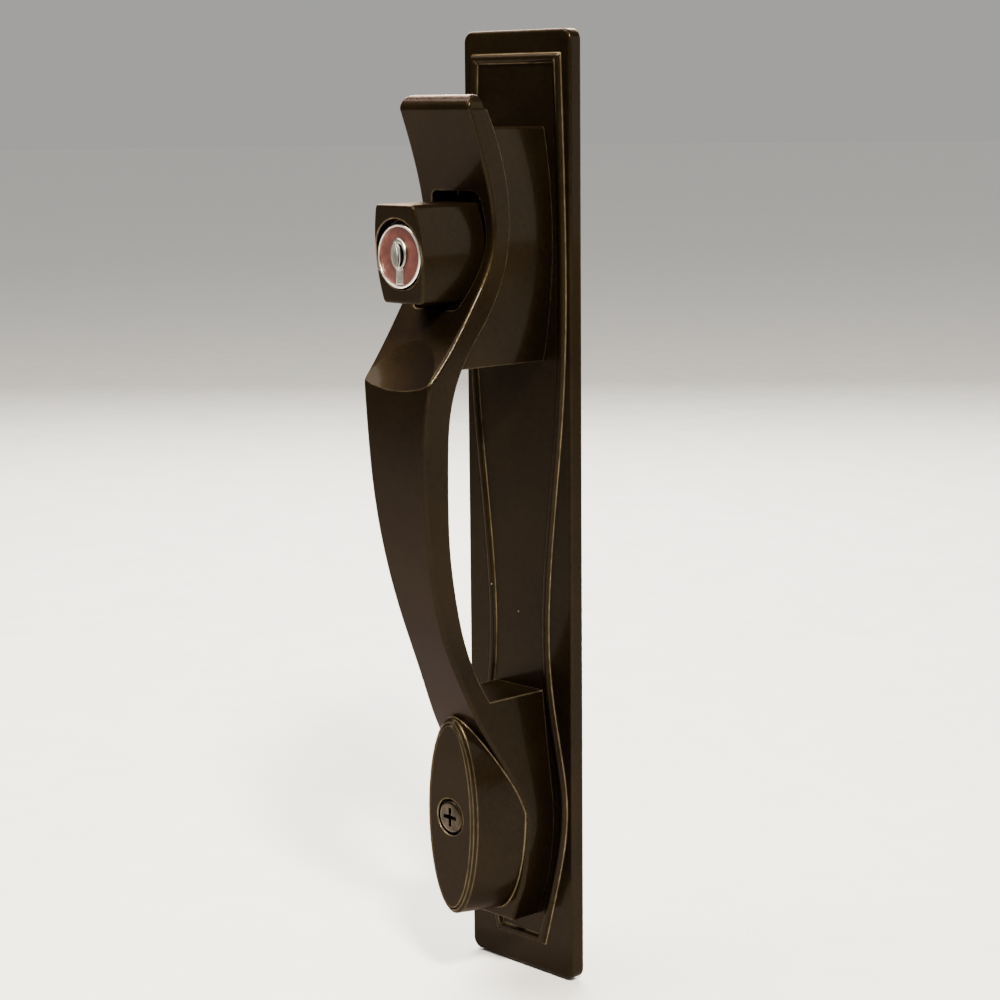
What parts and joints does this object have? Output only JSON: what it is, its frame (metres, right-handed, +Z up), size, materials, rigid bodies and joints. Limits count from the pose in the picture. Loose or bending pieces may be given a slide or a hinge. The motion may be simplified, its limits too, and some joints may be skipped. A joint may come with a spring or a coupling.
{
  "type": "keyed push-button pull handle",
  "caption": "Outdoor pull handle for a light door: a bowed grip and a keyed push button on a tall plate, with a flat tailpiece that works the latch indoors.",
  "frame": {"origin": "middle of the back of the plate, on the door's face", "axes": "+Z up; -Y out of the door towards the hand, +Y into the door; +X to the right as seen from outside"},
  "size_m": [0.04, 0.0612, 0.254],
  "materials": {
    "bronze_plate": "dark bronze enamel, satin",
    "bronze_pull": "dark bronze enamel, satin, worn bright on the edges",
    "bronze_button": "dark bronze enamel, satin",
    "bronze_cap": "dark bronze enamel, smooth",
    "cap_screw_steel": "bronze-plated steel",
    "bright_nickel": "bright nickel",
    "face_enamel": "reddish copper enamel",
    "lock_brass": "machined brass",
    "spring_steel": "drawn spring wire",
    "zinc_steel": "zinc-plated steel"
  },
  "bodies": {
    "handle_set": {"back_plate": "bronze_plate", "pull_handle": "bronze_pull", "oval_cap": "bronze_cap", "cap_screw": "cap_screw_steel", "spring_seat": "zinc_steel", "button_spring": "spring_steel", "mounting_posts": "lock_brass", "toothed_washers": "zinc_steel", "plate_screws": "zinc_steel"},
    "button_set": {"push_button": "bronze_button", "cylinder_shell": "lock_brass", "cylinder_set_screw": "spring_steel"},
    "key_plug_set": {"key_plug": "lock_brass", "plug_bezel": "bright_nickel", "plug_face": "face_enamel", "keyhole_insert": "bright_nickel", "wafer_tumblers": "lock_brass", "wafer_springs": "spring_steel", "plug_clip": "spring_steel", "tailpiece": "zinc_steel"}
  },
  "joints": [
    {"name": "button_push", "type": "slide", "parent": "handle_set", "child": "button_set", "axis": [0, 1, 0], "range_m": [0, 0.006], "stiffness_N_per_m": 800, "springref_m": -0.005, "deforming": ["button_spring"]},
    {"name": "key_turn", "type": "hinge", "parent": "button_set", "child": "key_plug_set", "pos_m": [0, 0, 0.07035], "axis": [0, 1, 0], "range_deg": [0, 90]}
  ]
}
